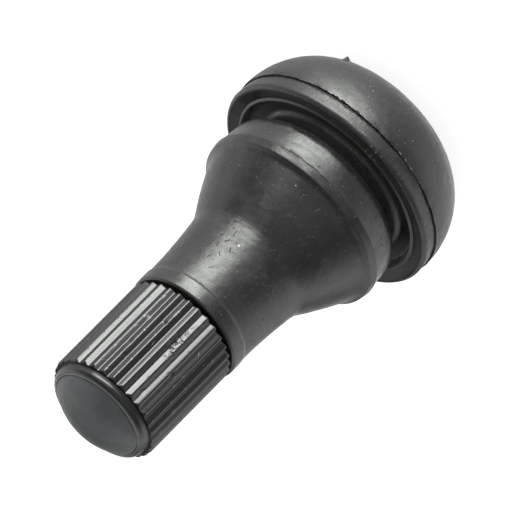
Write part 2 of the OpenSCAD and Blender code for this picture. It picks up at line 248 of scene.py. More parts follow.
# Moulding nib on the dome: its angle and place, how far it stands out, its width and the way it points
NIB_ANGLE = math.radians(-43)
NIB_Z = 1.22
NIB_H = 0.32
NIB_W = 0.17
NIB_REACH = 3 * NIB_W
NIB_OUTWARD = 0.64
NIB_DOWNWARD = 0.77
# The rubber's mesh: segments round it, the nib's arc to each side in radians and the segments across it, and
# the longest edges inside, outside and at the nib
RUBBER_SEGMENTS = 240
NIB_ARC = 0.06
NIB_SEGMENTS = 13
BOND_EDGE = 1.2
SKIN_EDGE = 0.2
NIB_EDGE = 0.08

# Marks on the surfaces: angle in degrees, height, lean from the axis in degrees, length and width
NECK_CUTS = [(-58, 19.0, 20, 0.5, 0.07), (-63, 18.4, -35, 0.45, 0.08), (-66, 19.6, 50, 0.4, 0.07),
             (-60, 20.2, -15, 0.5, 0.06), (-71, 18.9, 30, 0.5, 0.07), (-55, 18.2, -60, 0.35, 0.07),
             (-64, 17.6, 10, 0.6, 0.06), (-69, 20.9, -40, 0.4, 0.06), (30, 19.0, 30, 0.6, 0.07)]
NECK_RUBS = [(-62, 18.0, 15, 0.7, 0.22), (-58, 19.6, -20, 0.6, 0.25), (-66, 20.6, 35, 0.5, 0.20),
             (-61, 21.4, -30, 0.7, 0.25), (110, 19.5, 20, 0.8, 0.25), (-160, 18.4, -25, 0.7, 0.22)]
BAND_FLECKS = [(-63.8, 6.75, 20, 0.16, 0.14), (-63.9, 6.45, 70, 0.18, 0.12), (-82.0, 7.45, 40, 0.20, 0.14),
               (-79.9, 7.50, 0, 0.14, 0.10), (-85.3, 6.86, 30, 0.22, 0.12), (-92.4, 7.15, 60, 0.20, 0.12),
               (-95.8, 7.20, 0, 0.16, 0.12), (-98.9, 7.15, 45, 0.14, 0.12), (-103.8, 5.80, 80, 0.30, 0.12),
               (-107.9, 5.80, 60, 0.24, 0.10), (-56.6, 6.75, 0, 0.12, 0.10), (-112.5, 5.85, 75, 0.28, 0.10)]
NECK_CHIP = (-74, 18.2, 0, 0.16, 0.16)
CHIP_COLOUR = (0.95, 0.80, 0.48, 1)
CAP_STAR = [(-59, 27.02, 0, 0.60, 0.09), (-59, 27.02, 60, 0.50, 0.09), (-59, 27.02, 115, 0.50, 0.09)]
CAP_CUTS = [(-80, 28.6, 12, 0.5, 0.05), (-108, 30.2, -20, 0.5, 0.05), (-118, 26.4, 30, 0.45, 0.05),
            (60, 28.0, 15, 0.6, 0.05), (150, 29.5, -25, 0.6, 0.05)]


def outline_of(node):
    """The section of a turned CAD node, as ordered (radius, height) points."""
    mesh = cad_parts[node].data
    rings = []
    for vertex in mesh.vertices:
        radius = math.hypot(vertex.co.x, vertex.co.y) / MM
        rings.append((round(radius, 3), round(vertex.co.z / MM, 3)))
    links = {}
    for edge in mesh.edges:
        first, second = (rings[i] for i in edge.vertices)
        if first != second:
            links.setdefault(first, []).append(second)
            links.setdefault(second, []).append(first)
    start = max(links, key=lambda ring: (-ring[1], ring[0]))
    path = [start]
    step = max(links[start], key=lambda ring: ring[0])
    while step != start:
        path.append(step)
        step = next((ring for ring in links[step] if ring not in path[-2:]), start)
    return path


def resample(path, longest):
    """The same closed outline with no segment longer than longest(radius, height)."""
    points = []
    for a, b in zip(path, path[1:] + path[:1]):
        length = math.hypot(b[0] - a[0], b[1] - a[1])
        middle = ((a[0] + b[0]) / 2, (a[1] + b[1]) / 2)
        parts = max(1, math.ceil(length / longest(*middle)))
        for i in range(parts):
            t = i / parts
            points.append((a[0] + (b[0] - a[0]) * t, a[1] + (b[1] - a[1]) * t))
    return np.array(points)


def spun(points, angles):
    """Radius, height and angle where an outline's points meet the segments' angles, as arrays of rings."""
    radius = np.repeat(points[:, :1], len(angles), 1)
    height = np.repeat(points[:, 1:], len(angles), 1)
    return radius, height, np.broadcast_to(angles, radius.shape)


def grid_faces(rings, segments, closed):
    """The faces between neighbouring rings, and between the last ring and the first where it is closed."""
    index = np.arange(rings * segments).reshape(rings, segments)
    lower = index if closed else index[:-1]
    upper = np.roll(index, -1, axis=0)[:len(lower)]
    faces = np.stack([lower, np.roll(lower, -1, 1), np.roll(upper, -1, 1), upper], -1)
    return faces.reshape(-1, 4).tolist()


def smooth_object(name, points, faces, sharp):
    """An object from points, shaded smooth except at edges sharper than an angle in degrees."""
    mesh = bpy.data.meshes.new(name)
    mesh.from_pydata((points * MM).tolist(), [], faces)
    shape = bmesh.new()
    shape.from_mesh(mesh)
    bmesh.ops.remove_doubles(shape, verts=shape.verts, dist=WELD * MM)
    bmesh.ops.recalc_face_normals(shape, faces=shape.faces)
    shape.to_mesh(mesh)
    shape.free()
    mesh.shade_smooth()
    mesh.set_sharp_from_angle(angle=math.radians(sharp))
    piece = bpy.data.objects.new(name, mesh)
    bpy.context.scene.collection.objects.link(piece)
    return piece


def grid_object(name, radius, height, angles, closed, sharp):
    """An object of rings by segments, from radius and height arrays and the segments' angles."""
    points = np.stack([radius * np.cos(angles), radius * np.sin(angles), height], -1)
    faces = grid_faces(*radius.shape, closed)
    return smooth_object(name, points.reshape(-1, 3), faces, sharp)


def mark(piece, name, value):
    """A number from 0 to 1 at each vertex, worked out from its angle, radius and height."""
    layer = piece.data.attributes.new(name, "FLOAT", "POINT")
    for vertex, entry in zip(piece.data.vertices, layer.data):
        place = vertex.co / MM
        entry.value = value(math.atan2(place.y, place.x), math.hypot(place.x, place.y), place.z)


def waves(angle, seed, lowest, highest):
    """Repeatable unevenness round the axis, from -1 to 1."""
    rng = np.random.default_rng(seed)
    total = np.zeros_like(angle)
    orders = range(lowest, highest)
    for order in orders:
        total += np.sin(order * angle + rng.uniform(0, TURN)) / math.sqrt(len(orders))
    return np.clip(total, -1, 1)


def bump_at(value, centre, width):
    """A smooth hump of height 1 round a centre."""
    return np.exp(-((value - centre) / width) ** 2)


def ramp(value, start, end):
    """0 up to the start and 1 from the end on, with a straight rise between them."""
    return np.clip((value - start) / (end - start), 0, 1)


def wrapped(angle):
    """The same angle from half a turn back to half a turn on."""
    return (angle + math.pi) % TURN - math.pi


def window(angle, ends, soft):
    """1 between two angles, given in degrees, and 0 elsewhere, with soft ends."""
    start, end = (math.radians(value) for value in ends)
    turn = wrapped(angle)
    return ramp(turn, start, start + soft) * ramp(turn, end, end - soft)


def thread_wave(angle, height, pitch):
    """A right-handed thread: 1 on the stem's crest and 0 in its root."""
    place = (height / pitch - angle / TURN) % 1
    return np.abs(2 * place - 1)


def flattened(wave, flat):
    """A thread's wave with flats in its roots and on its crests."""
    return np.clip(THREAD_FLANK * wave - flat, 0, 1)


class Shade:
    """A node tree, with short calls for the nodes that the materials share."""

    def __init__(self, name):
        self.material = bpy.data.materials.new(name)
        self.material.use_nodes = True
        self.tree = self.material.node_tree
        self.shader = self.tree.nodes["Principled BSDF"]
        place = self.add("ShaderNodeTexCoord")
        self.mm = self.vector("SCALE", place.outputs["Object"], scale=1 / MM)
        parts = self.add("ShaderNodeSeparateXYZ")
        self.feed(parts.inputs[0], self.mm)
        self.height = parts.outputs["Z"]
        self.angle = self.math("ARCTAN2", parts.outputs["Y"], parts.outputs["X"])

    def add(self, kind, **settings):
        made = self.tree.nodes.new(kind)
        for key, value in settings.items():
            setattr(made, key, value)
        return made

    def feed(self, socket, value):
        if isinstance(value, bpy.types.NodeSocket):
            self.tree.links.new(value, socket)
        else:
            socket.default_value = value

    def vector(self, operation, a, b=None, scale=None):
        made = self.add("ShaderNodeVectorMath", operation=operation)
        self.feed(made.inputs[0], a)
        if b is not None:
            self.feed(made.inputs[1], b)
        if scale is not None:
            self.feed(made.inputs["Scale"], scale)
        return made.outputs[0]

    def math(self, operation, a, b=0.0):
        made = self.add("ShaderNodeMath", operation=operation)
        self.feed(made.inputs[0], a)
        self.feed(made.inputs[1], b)
        return made.outputs[0]

    def times(self, a, b):
        return self.math("MULTIPLY", a, b)

    def minus(self, a, b):
        return self.math("SUBTRACT", a, b)

    def most(self, a, b):
        return self.math("MAXIMUM", a, b)

    def size(self, a):
        return self.math("ABSOLUTE", a)

    def more(self, value, where, amount):
        """A value with an amount added where a field is 1."""
        return self.math("ADD", value, self.times(where, amount))

    def spread(self, value, low, high, to_low=0.0, to_high=1.0):
        """A smooth step between two values, from one number to another."""
        made = self.add("ShaderNodeMapRange", interpolation_type="SMOOTHSTEP")
        for socket, number in zip(made.inputs, (value, low, high, to_low, to_high)):
            self.feed(socket, number)
        return made.outputs[0]

    def noise_at(self, place, scale, detail, rough, bend):
        """Noise at a place, from 0 to 1."""
        made = self.add("ShaderNodeTexNoise")
        self.feed(made.inputs["Vector"], place)
        self.feed(made.inputs["Scale"], scale)
        self.feed(made.inputs["Detail"], detail)
        self.feed(made.inputs["Roughness"], rough)
        self.feed(made.inputs["Distortion"], bend)
        return made.outputs["Fac"]

    def noise(self, scale, detail=3.0, rough=0.55, stretch=(1, 1, 1), shift=(0, 0, 0), bend=0.0):
        """Noise from 0 to 1, stretched and shifted along the axes."""
        moved = self.vector("ADD", self.vector("MULTIPLY", self.mm, stretch), shift)
        return self.noise_at(moved, scale, detail, rough, bend)

    def streaks(self, along, across, detail=3.0, rough=0.6):
        """Fine marks that run round the axis: noise with few waves along them and many across."""
        place = self.add("ShaderNodeCombineXYZ")
        self.feed(place.inputs["X"], self.times(self.math("COSINE", self.angle), along))
        self.feed(place.inputs["Y"], self.times(self.math("SINE", self.angle), along))
        self.feed(place.inputs["Z"], self.times(self.height, across))
        return self.noise_at(place.outputs[0], 1.0, detail, rough, 0.0)

    def line(self, height, wander, width, heavy):
        """A ragged line round the axis: 1 on the line, at a height, and 0 beside it."""
        sway = self.minus(self.noise(2.2, 4, 0.75, shift=(1, 7, 1)), 0.5)
        above = self.minus(self.height, height)
        away = self.size(self.minus(above, self.times(sway, wander)))
        widest = self.math("ADD", self.times(heavy, 2.4 * width), width)
        ragged = self.spread(self.noise(1.9, 5, 0.8, shift=(8, 2, 4)), 0.32, 0.72, 0.35, 1.5)
        return self.spread(self.math("DIVIDE", away, self.times(ragged, widest)), 1.0, 0.45)

    def arc(self, ends, soft=3.0):
        """1 between two angles round the axis, given in degrees, and 0 elsewhere."""
        start, end, soft = (math.radians(value) for value in (*ends, soft))
        after = self.spread(self.angle, start - soft, start + soft)
        return self.times(after, self.spread(self.angle, end + soft, end - soft))

    def between(self, fades):
        """1 between two heights and 0 elsewhere, each height given as where it is 0 and where it is 1."""
        low, high = (self.spread(self.height, *fade) for fade in fades)
        return self.times(low, high)

    def stroke(self, radius, angle, height, lean, length, width):
        """A short straight mark on a round surface, centred at an angle in degrees and a height."""
        across = self.times(self.minus(self.angle, math.radians(angle)), radius)
        along = self.minus(self.height, height)
        cosine = math.cos(math.radians(lean))
        sine = math.sin(math.radians(lean))
        side = self.math("ADD", self.times(across, cosine), self.times(along, sine))
        way = self.minus(self.times(along, cosine), self.times(across, sine))
        narrow = self.spread(self.size(side), width / 2, width / 6)
        return self.times(narrow, self.spread(self.size(way), length / 2, length / 4))

    def strokes(self, radius, marks):
        """Several strokes together, from a list of angle, height, lean, length and width."""
        made = self.stroke(radius, *marks[0])
        for entry in marks[1:]:
            made = self.most(made, self.stroke(radius, *entry))
        return made

    def specks(self, scale, size, shift=(0, 0, 0)):
        """Small dots: 1 inside a dot of that radius and 0 outside."""
        made = self.add("ShaderNodeTexVoronoi", feature="F1")
        self.feed(made.inputs["Vector"], self.vector("ADD", self.mm, shift))
        self.feed(made.inputs["Scale"], scale)
        return self.spread(made.outputs["Distance"], size * scale, size * scale / 2)

    def marked(self, name):
        """The number that mark gave to the piece's vertices."""
        made = self.add("ShaderNodeAttribute", attribute_name=name)
        return made.outputs["Fac"]

    def mix(self, amount, first, second):
        made = self.add("ShaderNodeMix", data_type="RGBA")
        self.feed(made.inputs["Factor"], amount)
        colours = [socket for socket in made.inputs if socket.type == "RGBA"]
        self.feed(colours[0], first)
        self.feed(colours[1], second)
        return next(socket for socket in made.outputs if socket.type == "RGBA")

    def layer(self, base, where, share, colour):
        """A colour with a share of another over it where a field is 1."""
        return self.mix(self.times(where, share), base, colour)

    def bump(self, height, depth, below=None):
        made = self.add("ShaderNodeBump")
        self.feed(made.inputs["Height"], height)
        self.feed(made.inputs["Distance"], depth * MM)
        if below is not None:
            self.feed(made.inputs["Normal"], below)
        return made.outputs["Normal"]

    def finish(self, **values):
        names = {"colour": "Base Color", "rough": "Roughness", "metal": "Metallic", "normal": "Normal",
                 "gloss": "Specular IOR Level"}
        for key, value in values.items():
            self.feed(self.shader.inputs[names[key]], value)
        return self.material


def grey(level, warm=0.0):
    """A grey, made a little warmer or, below 0, cooler."""
    return (level * (1 + warm), level, level * (1 - warm), 1)


def body_rubber():
    """Black moulded rubber with dust, scuffs and cuts, and with dirt and painted crevice shade in its seam
    and along its ridge.
    """
    s = Shade("body_rubber")
    # Where the rubber is cloudy, hazy, scuffed or scratched
    cloud = s.noise(0.55, 4, 0.6)
    haze = s.spread(s.noise(0.28, 4, 0.6, shift=(5, 3, 8), bend=0.6), 0.40, 0.68)
    grain = s.noise(7, 3, 0.6, shift=(3, 1, 4))
    turned = s.streaks(9, 4.5)
    scuff_field = s.noise(1.1, 4, 0.65, (1, 1, 0.6), (7, 2, 5), 1.2)
    scuff = s.spread(scuff_field, 0.56, 0.72)
    scratch = s.times(s.spread(s.streaks(5, 9, 2), 0.66, 0.72), s.spread(scuff_field, 0.45, 0.6))
    fleck = s.spread(s.noise(2.4, 2, 0.5, (1, 1, 0.55), (1, 4, 6), 1.6), 0.70, 0.76)
    cuts = s.most(s.strokes(NECK_R, NECK_CUTS), s.times(fleck, 0.7))
    rubs = s.strokes(NECK_R, NECK_RUBS)
    chip = s.stroke(NECK_R, *NECK_CHIP)
    # Dust, and the dirt with painted crevice shade in the seam and along the ridge
    dust_room = s.spread(s.noise(0.35, 2, shift=(9, 4, 2)), 0.40, 0.58)
    dust = s.times(s.specks(0.75, 0.085), dust_room)
    dust = s.most(dust, s.times(s.specks(1.7, 0.045, (4, 9, 3)), 0.7))
    dust = s.most(dust, s.times(s.strokes(HEAD_R, BAND_FLECKS), 0.6))
    heavy = s.arc(SEAM_HEAVY, soft=10)
    seam = s.line(SEAM_LINE_Z, wander=0.26, width=LINE_W, heavy=heavy)
    seam = s.times(seam, s.minus(1.0, s.times(s.arc(SEAM_FAINT), 0.85)))
    dirt_and_crevice_shade = s.most(seam, s.line(RIDGE_LINE_Z, wander=0.10, width=LINE_W, heavy=heavy))
    # Parts with their own gloss
    band = s.between(BAND_FADES)
    dome = s.spread(s.height, *DOME_FADE)
    neck = s.between(NECK_FADES)
    sanded = s.times(s.streaks(30, 11, 2), band)
    base = s.mix(cloud, grey(0.006, 0.02), grey(0.014))
    base = s.layer(base, grain, 0.30, grey(0.024))
    base = s.layer(base, haze, 0.35, grey(0.035, -0.03))
    base = s.layer(base, scuff, 0.40, grey(0.05))
    base = s.layer(base, s.most(scratch, rubs), 0.45, grey(0.09))
    # The rim groove gets a lighter grey: dust, and painted fill light over the groove's shade
    base = s.layer(base, s.marked("groove"), 0.6, grey(0.06, 0.03))
    base = s.layer(base, cuts, 0.9, grey(0.003))
    base = s.layer(base, dust, 0.75, grey(0.36, 0.02))
    base = s.mix(chip, base, CHIP_COLOUR)
    # The seam and ridge lines are painted near black: dirt, and painted shade in their crevices
    base = s.layer(base, dirt_and_crevice_shade, 0.9, grey(0.004, 0.05))
    rough = s.spread(s.noise(1.2, 4, 0.65, shift=(2, 6, 1), bend=0.8), 0.28, 0.72, 0.21, 0.34)
    rough = s.more(rough, haze, 0.06)
    rough = s.more(rough, s.most(scuff, dust), 0.12)
    rough = s.more(rough, s.most(dirt_and_crevice_shade, cuts), 0.30)
    rough = s.more(rough, band, 0.11)
    rough = s.more(rough, dome, 0.09)
    rough = s.more(rough, neck, 0.05)
    normal = s.bump(cloud, 0.035)
    normal = s.bump(sanded, 0.012, normal)
    normal = s.bump(scuff_field, 0.006, normal)
    normal = s.bump(turned, 0.004, normal)
    normal = s.bump(s.more(grain, scratch, -0.8), 0.006, normal)
    normal = s.bump(s.times(s.most(seam, cuts), -1.0), 0.06, normal)
    return s.finish(colour=base, rough=rough, normal=normal, gloss=0.7)


def cap_plastic():
    """Black plastic with glossy, worn ribs and a satin end."""
    s = Shade("cap_plastic")
    cloud = s.noise(0.8, 3, shift=(1, 8, 2))
    drawn = s.noise(2.6, 1, 0.5, (1, 1, 0.05), (3, 3, 3))
    wear = s.marked("wear")
    satin = s.marked("satin")
    rub = s.noise(2.2, 2, 0.6, (1, 1, 0.7), (2, 2, 6), 0.8)
    torn = s.times(wear, s.spread(rub, 0.53, 0.62))
    nibble = s.times(s.marked("edge"), s.spread(s.noise(1.8, 1, 0.5, shift=(5, 1, 7)), 0.60, 0.68))
    film = s.times(satin, s.spread(s.noise(0.7, 3, 0.6, shift=(4, 8, 8)), 0.35, 0.70))
    dust = s.times(s.specks(1.5, 0.05, (6, 1, 1)), s.spread(s.noise(0.6, 2), 0.45, 0.60))
    light = s.most(s.strokes(VALLEY_R, CAP_STAR), s.strokes(VALLEY_R, CAP_CUTS))
    light = s.most(light, s.times(nibble, 0.2))
    # A light ring along the crease: a painted highlight on its edge
    light = s.most(light, s.times(s.marked("crease"), 0.8))
    base = s.mix(cloud, grey(0.006, -0.03), grey(0.011, -0.03))
    base = s.layer(base, satin, 0.8, grey(0.088, -0.09))
    base = s.layer(base, film, 0.5, grey(0.115, -0.07))
    base = s.layer(base, torn, 0.6, grey(0.006))
    base = s.layer(base, s.minus(wear, torn), 0.12, grey(0.20))
    base = s.mix(light, base, grey(0.24))
    base = s.layer(base, dust, 0.6, grey(0.30))
    rough = s.spread(drawn, 0.25, 0.75, 0.18, 0.28)
    rough = s.more(rough, satin, 0.28)
    rough = s.more(rough, s.most(torn, light), 0.25)
    normal = s.bump(cloud, 0.006)
    normal = s.bump(s.times(torn, -1.0), 0.03, normal)
    normal = s.bump(s.times(rub, wear), 0.02, normal)
    normal = s.bump(s.times(nibble, -1.0), 0.02, normal)
    normal = s.bump(drawn, 0.003, normal)
    return s.finish(colour=base, rough=rough, normal=normal, gloss=0.75)


def metal(name, bright, dark, scale, stretch, smooth, coarse, grime_and_shade_below=0):
    """Turned or drawn metal, from two colours, the scale and stretch of its lines and its roughnesses."""
    s = Shade(name)
    cloud = s.noise(0.9, 4)
    lines = s.noise(scale, 3, 0.6, stretch, (2, 5, 1))
    stain = s.spread(s.noise(1.3, 4, 0.7, shift=(4, 4, 9)), 0.5, 0.75)
    base = s.mix(cloud, bright, dark)
    base = s.layer(base, stain, 0.35, dark)
    # Darker below a height: grime, and painted shade in the gap under the cap's mouth
    base = s.mix(s.spread(s.height, grime_and_shade_below, grime_and_shade_below - GRIME_AND_SHADE_FADE), base, GRIME_AND_SHADE_COLOUR)
    rough = s.spread(lines, 0.25, 0.75, smooth, coarse)
    normal = s.bump(lines, 0.004)
    return s.finish(colour=base, rough=rough, normal=normal, metal=1.0)


def soft_ring(name, light, dark):
    """Matt rubber of the seals, from its two colours."""
    s = Shade(name)
    cloud = s.noise(1.4, 4)
    grain = s.noise(12, 3, 0.6)
    base = s.mix(cloud, light, dark)
    base = s.layer(base, s.specks(2.2, 0.04), 0.35, grey(0.25))
    rough = s.spread(grain, 0.2, 0.8, 0.55, 0.75)
    return s.finish(colour=base, rough=rough, normal=s.bump(grain, 0.008), gloss=0.4)


def nib(angle, radius, height):
    """How far the moulding nib stands out of the dome."""
    turn = wrapped(angle - NIB_ANGLE)
    return NIB_H * bump_at(turn * radius, 0, NIB_W) * bump_at(height, NIB_Z, NIB_W)


def make_rubber():
    """The CAD outline, spun with a ragged seam, an uneven skin, a swelling bell and the moulding nib."""

    def longest(r, z):
        if r < BOND_R or (r < FOOT_R and z < FOOT_Z):
            return BOND_EDGE
        return NIB_EDGE if abs(z - NIB_Z) < NIB_REACH else SKIN_EDGE

    even = np.linspace(-math.pi, math.pi, RUBBER_SEGMENTS, endpoint=False)
    close = NIB_ANGLE + np.linspace(-NIB_ARC, NIB_ARC, NIB_SEGMENTS)
    angles = np.sort(np.concatenate([even, close]))
    r, z, at = spun(resample(outline_of("rubber_body"), longest), angles)
    skin = (r > SKIN_R) & (z > SKIN_Z) & ~((r < FOOT_R) & (z < FOOT_Z))
    flash = bump_at(z, PARTING_Z, SEAM_L) * (r > HEAD_R - SEAM_DEPTH)
    ragged = sum(depth * waves(at, *spec) for depth, *spec in SEAM_WAVES)
    r = r + flash * np.minimum(ragged, 0.0)
    z = z + flash * SEAM_SWAY * ragged * (r > HEAD_R - SEAM_LIP)
    filled = window(at, SEAM_FAINT, soft=0.1) * bump_at(z, PARTING_Z, FILL_L) * (r > HEAD_R - SEAM_DEPTH)
    r = r + FILL_SHARE * filled * np.maximum(HEAD_R - FILL_GAP - r, 0)
    uneven = sum(depth * waves(at + twist * z, *spec) for depth, *spec, twist in SKIN_WAVES)
    swell = BELL_SWELL * np.sin(math.pi * ramp(z, BELL_Z, KNEE_Z))
    r = r + np.where(skin, swell - np.abs(uneven), 0)
    lump = np.where(skin, nib(at, r, z), 0)
    r = r + lump * NIB_OUTWARD
    z = np.maximum(z - lump * NIB_DOWNWARD, 0)
    piece = grid_object("rubber_shell", r, z, angles, closed=True, sharp=32)

    # Where the rim groove is painted lighter: dust, and painted fill light over its shade
    def groove(angle, radius, height):
        inside = ramp(radius, HEAD_R - DUST_AND_LIGHT_IN, HEAD_R - DUST_AND_LIGHT_IN - DUST_AND_LIGHT_FADE)
        between = ramp(height, *DUST_AND_LIGHT_LOW) * ramp(height, *DUST_AND_LIGHT_TOP)
        return float(inside * between * window(angle, GROOVE_DUST_AND_LIGHT, soft=0.5))

    mark(piece, "groove", groove)
    piece.data.materials.append(body_rubber())
    return piece


def make_stem():
    """The CAD outline, spun with the cap's thread cut outside and the core's thread cut in the bore."""

    def longest(r, z):
        outside_or_bore = r > STEM_ROOT or r < CORE_BORE + BORE_REACH
        threaded = STEM_THREAD_LOW - THREAD_FADE < z < STEM_THREAD_TOP and outside_or_bore
        return THREAD_EDGE if threaded else STEM_EDGE

    angles = np.linspace(0, TURN, STEM_SEGMENTS, endpoint=False)
    r, z, at = spun(resample(outline_of("valve_stem"), longest), angles)
    crest = flattened(thread_wave(at, z, CAP_PITCH), STEM_FLAT)
    ridge = STEM_ROOT + (STEM_CREST - STEM_ROOT) * crest
    fade = ramp(z, STEM_THREAD_LOW, STEM_THREAD_LOW + THREAD_FADE)
    ridge = STEM_CREST + (ridge - STEM_CREST) * fade
    r = np.where((r > STEM_ROOT) & (z > STEM_THREAD_LOW), np.minimum(r, ridge), r)
    cut = CORE_DEPTH * flattened(thread_wave(at, z, CORE_PITCH), CORE_FLAT)
    fade = ramp(z, CORE_THREAD_LOW, CORE_THREAD_LOW + THREAD_FADE)
    in_bore = (np.abs(r - CORE_BORE) < BORE_REACH) & (z > CORE_THREAD_LOW) & (z < STEM_THREAD_TOP)
    r = np.where(in_bore, np.maximum(r, CORE_BORE + cut * fade), r)
    piece = grid_object("threaded_stem", r, z, angles, closed=True, sharp=40)
    brass = metal("stem_brass", bright=(0.58, 0.42, 0.17, 1), dark=(0.36, 0.25, 0.10, 1), scale=3,
                  stretch=(1, 1, 9), smooth=0.24, coarse=0.42, grime_and_shade_below=GRIME_AND_SHADE_Z)
    piece.data.materials.append(brass)
    return piece


def rib_height(place):
    """Height of a rib from 0 to 1, from the distance to its crest: 0 on the crest and 1 in the trough."""
    crest = 1 - CREST_ROUND / 2 - place ** 2 / (2 * CREST_ROUND)
    rest = 1 - place
    trough = TROUGH_ROUND / 2 + rest ** 2 / (2 * TROUGH_ROUND)
    return np.where(place < CREST_ROUND, crest, np.where(rest < TROUGH_ROUND, trough, rest))


def crest_distance(angle):
    """How far an angle is from the nearest crest: 0 on the crest and 1 in the trough."""
    turns = (angle - RIB_PHASE) / TURN * RIBS
    return np.abs(turns - np.round(turns)) * 2


def rib_limit(height):
    """Largest radius of the ribs, which fall off at their ends."""
    along = ramp(height, RIB_TOP_Z - RIB_END_L, RIB_TOP_Z)
    return VALLEY_R + RIB_H * (1 - RIB_END_DROP * along ** RIB_END_CURVE)


def rounded(before, corner, after, radius, steps):
    """Points on an outline from one point to another, round a corner with that radius."""
    corner = np.array(corner)
    first = np.array(before) - corner
    second = np.array(after) - corner
    first /= np.linalg.norm(first)
    second /= np.linalg.norm(second)
    half = math.acos(first @ second) / 2
    middle = (first + second) / np.linalg.norm(first + second)
    centre = corner + middle * radius / math.sin(half)
    start = corner + first * radius / math.tan(half) - centre
    end = corner + second * radius / math.tan(half) - centre
    points = [tuple(before)]
    for i in range(steps + 1):
        spoke = start + (end - start) * i / steps
        points.append(tuple(centre + spoke * radius / np.linalg.norm(spoke)))
    return points


def hollow_rows():
    """The inside of the cap, from the middle of the hollow down to the mouth."""
    rows = [("plain", 0, HOLLOW_TOP_Z)]
    bend = HOLLOW_TOP_Z - CAP_FLOOR_Z
    for i in range(HOLLOW_STEPS + 1):
        a = math.pi / 2 * i / HOLLOW_STEPS
        rows.append(("plain", HOLLOW_R - bend * (1 - math.sin(a)), CAP_FLOOR_Z + bend * math.cos(a)))
    rows.append(("plain", CAP_ROOT, CAP_FLOOR_Z))
    top = CAP_FLOOR_Z - PLAIN_WALL
    length = top - MOUTH_Z - MOUTH_CHAMFER
    for i in range(THREAD_STEPS + 1):
        rows.append(("thread", CAP_ROOT, top - length * i / THREAD_STEPS))
    rows.append(("plain", CAP_ROOT + MOUTH_CHAMFER, MOUTH_Z))
    return rows


def rib_rows():
    """The ribs from the mouth up. These rows hold what is added to the ribs' own radius."""
    rows = [("ribs", -MOUTH_EDGE, MOUTH_Z), ("ribs", -MOUTH_BEND, MOUTH_Z + MOUTH_BEND)]
    end_z = RIB_TOP_Z - RIB_END_L
    z = MOUTH_Z + MOUTH_EDGE
    while z < end_z - LEAST_ROW_GAP:
        rows.append(("ribs", 0, z))
        z += SCUFF_ROW_GAP if abs(z - SCUFF_Z) < SCUFF_REACH else ROW_GAP
    for i in range(RIB_END_STEPS + 1):
        rows.append(("ribs", 0, end_z + RIB_END_L * i / RIB_END_STEPS))
    return rows


def end_rows():
    """The cap's end, from the groove above the ribs, over the rim and up to the middle of the dome."""
    rows = [("plain", GROOVE_R, RIB_TOP_Z)]
    for i in range(COVE_STEPS):
        t = i / COVE_STEPS
        r = GROOVE_R + (RIM_R - GROOVE_R) * t ** COVE_CURVE
        rows.append(("plain", r, RIM_Z + (RIM_SIDE_Z - RIM_Z) * t))
    rim_top = (CREASE_R + CREASE_DEPTH, RIM_TOP_Z)
    for r, z in rounded((RIM_R, RIM_SIDE_Z), (RIM_R, RIM_CORNER_Z), rim_top, RIM_ROUND, RIM_STEPS):
        rows.append(("plain", r, z))
    rows.append(("plain", *rim_top))
    rows.append(("plain", CREASE_R, RIM_TOP_Z - CREASE_DEPTH))
    ball = (CREASE_R ** 2 + DOME_H ** 2) / (2 * DOME_H)
    opening = math.asin((CREASE_R - CREASE_DEPTH) / ball)
    for i in range(DOME_STEPS + 1):
        a = opening * (1 - i / DOME_STEPS)
        rows.append(("plain", ball * math.sin(a), RIM_TOP_Z + DOME_H - ball * (1 - math.cos(a))))
    return rows


def rib_angles():
    """Segments round the cap, closer together on the crests and in the troughs."""
    steps = [-step for step in reversed(RIB_STEPS)] + [0] + RIB_STEPS + [1]
    angles = []
    for rib in range(RIBS):
        for step in steps:
            angles.append(RIB_PHASE + TURN * (rib + step / 2) / RIBS)
    return np.array(angles)


def make_cap():
    """The cap's section, spun with V-shaped ribs outside and a thread inside."""
    rows = hollow_rows() + rib_rows() + end_rows()
    kinds = np.array([[row[0]] for row in rows])
    angles = rib_angles()
    r, z, at = spun(np.array([row[1:] for row in rows], float), angles)
    ribs = VALLEY_R + RIB_H * rib_height(crest_distance(at)) + r
    nicked = np.zeros_like(ribs)
    for angle, height, depth in NICKS:
        away = wrapped(at - math.radians(angle))
        nicked += depth * bump_at(away * VALLEY_R, 0, NICK_W) * bump_at(z, height, NICK_L)
    ribs = np.minimum(np.maximum(ribs - nicked, NICK_FLOOR_R), rib_limit(z))
    crest = flattened(1 - thread_wave(at, z, CAP_PITCH), CAP_FLAT)
    ends = ramp(z, *CAP_THREAD_LOW) * ramp(z, *CAP_THREAD_TOP)
    thread = CAP_ROOT - (CAP_ROOT - CAP_CREST) * crest * ends
    r = np.where(kinds == "ribs", ribs, np.where(kinds == "thread", thread, r))
    piece = grid_object("ribbed_cap", r, z, angles, closed=False, sharp=33)

    def wear(angle, radius, height):
        outside = radius > VALLEY_R - MARK_REACH and height < RIB_TOP_Z
        total = 0.0
        for centre, width, length, strength in SCUFFS:
            near = bump_at(angle, math.radians(centre), width) * bump_at(height, SCUFF_Z, length)
            total += strength * near
        return float(outside) * min(1.0, float(total))

    def edge(angle, radius, height):
        return float(bump_at(radius, VALLEY_R + RIB_H, CREST_MARK_W) * (height < RIB_TOP_Z))

    # The crease's painted highlight: a light line along the rim's top
    def crease(angle, radius, height):
        near = bump_at(radius, CREASE_R + CREASE_DEPTH, CREASE_HIGHLIGHT_W)
        return float(near * (height > RIM_TOP_Z - MARK_REACH))

    def satin(angle, radius, height):
        return float(ramp(radius, CREASE_R, CREASE_R - SATIN_FADE)) * (height > RIM_TOP_Z)

    mark(piece, "wear", wear)
    mark(piece, "edge", edge)
    mark(piece, "crease", crease)
    mark(piece, "satin", satin)
    piece.data.materials.append(cap_plastic())
    return piece


